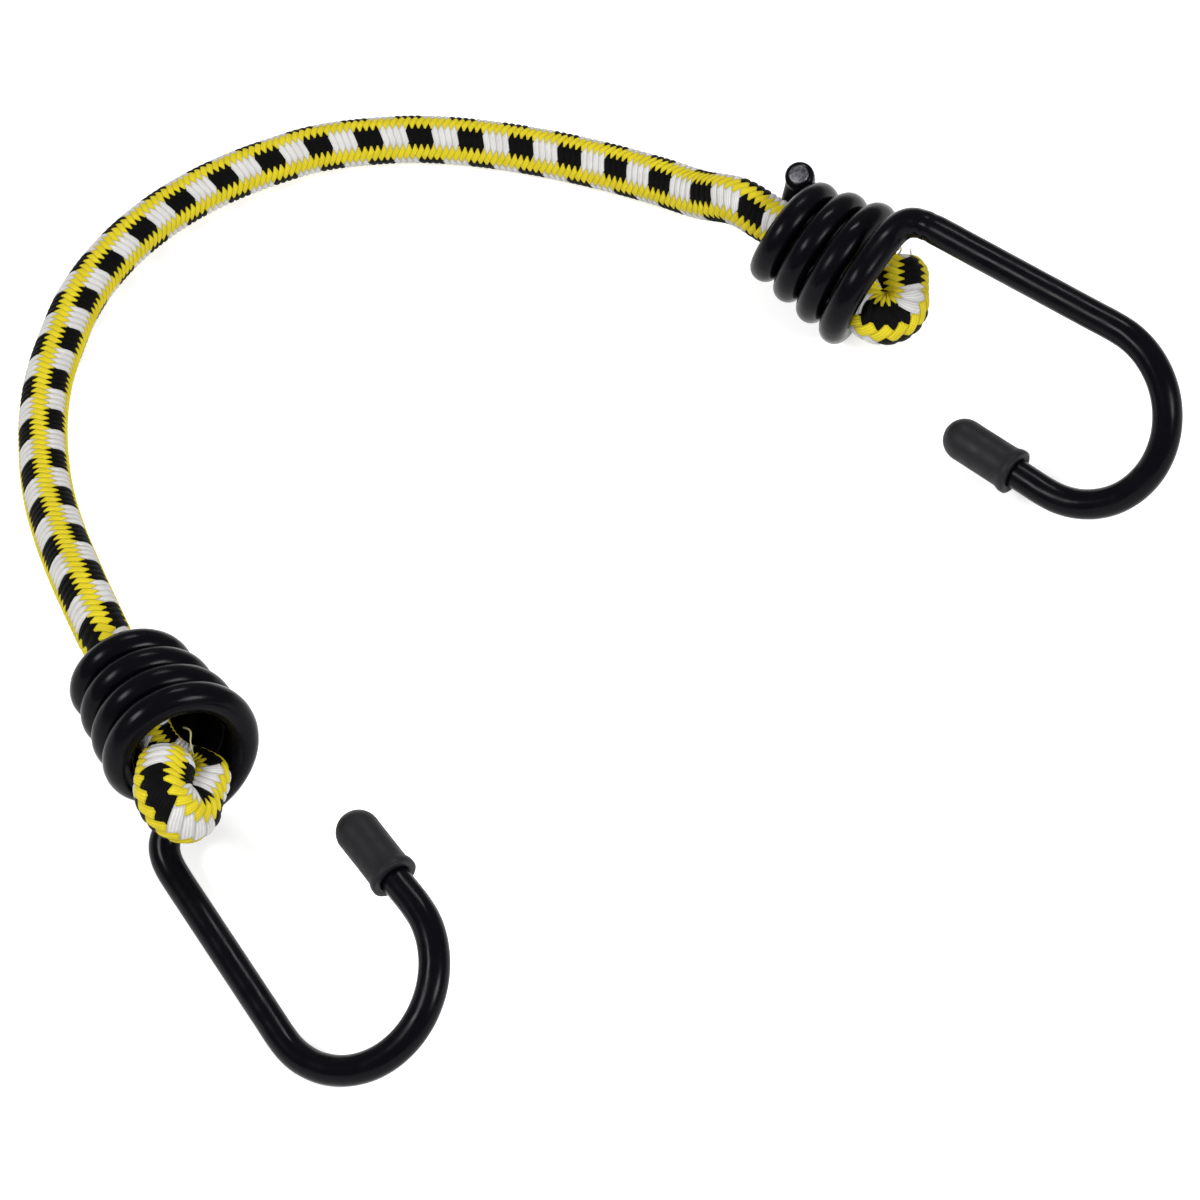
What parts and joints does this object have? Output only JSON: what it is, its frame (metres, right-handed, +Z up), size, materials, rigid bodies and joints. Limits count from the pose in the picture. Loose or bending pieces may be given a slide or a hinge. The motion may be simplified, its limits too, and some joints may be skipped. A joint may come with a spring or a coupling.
{
  "type": "bungee cord",
  "caption": "Elastic bungee cord in a yellow braided cover with black and white checks, each end folded back and gripped by the spiral of a plastic-coated wire hook with a soft tip cap",
  "frame": {"origin": "on the floor that the bungee lies on, under the middle of the box round the two hooks", "axes": "+Z up; +Y from the hooks towards the top of the cord's arch; +X from the hook at the left to the hook at the right"},
  "size_m": [0.1893, 0.194, 0.0319],
  "materials": {
    "braid": "yellow braided textile with black and white checks",
    "rubber_core": "tan latex strands",
    "coating": "glossy near-black dipped plastic",
    "tip_cap": "matte charcoal soft plastic",
    "steel": "bare drawn steel, seen at the sheared end"
  },
  "bodies": {
    "cord": {"span_sheath": "braid", "span_core": "rubber_core"},
    "left_hook": {"left_hook_coating": "coating", "left_tip_cap": "tip_cap", "left_hook_wire": "steel", "left_end_sheath": "braid", "left_end_core": "rubber_core"},
    "right_neck": {"right_neck_sheath": "braid", "right_neck_core": "rubber_core"},
    "right_hook": {"right_hook_coating": "coating", "right_tip_cap": "tip_cap", "right_hook_wire": "steel", "right_end_sheath": "braid", "right_end_core": "rubber_core"}
  },
  "joints": [
    {"name": "left_swivel", "type": "hinge", "parent": "cord", "child": "left_hook", "pos_m": [-0.07733, -0.02043, 0.01752], "axis": [0.5329, -0.8462, -0.0087], "range_deg": [-90, 90]},
    {"name": "stretch", "type": "slide", "parent": "cord", "child": "right_neck", "axis": [0.7847, -0.6197, 0.014], "range_m": [0, 0.15], "stiffness_N_per_m": 500, "deforming": ["span_sheath", "span_core"]},
    {"name": "right_swivel", "type": "hinge", "parent": "right_neck", "child": "right_hook", "pos_m": [0.02934, 0.07506, 0.01172], "axis": [0.7847, -0.6197, 0.014], "range_deg": [-90, 90]}
  ]
}
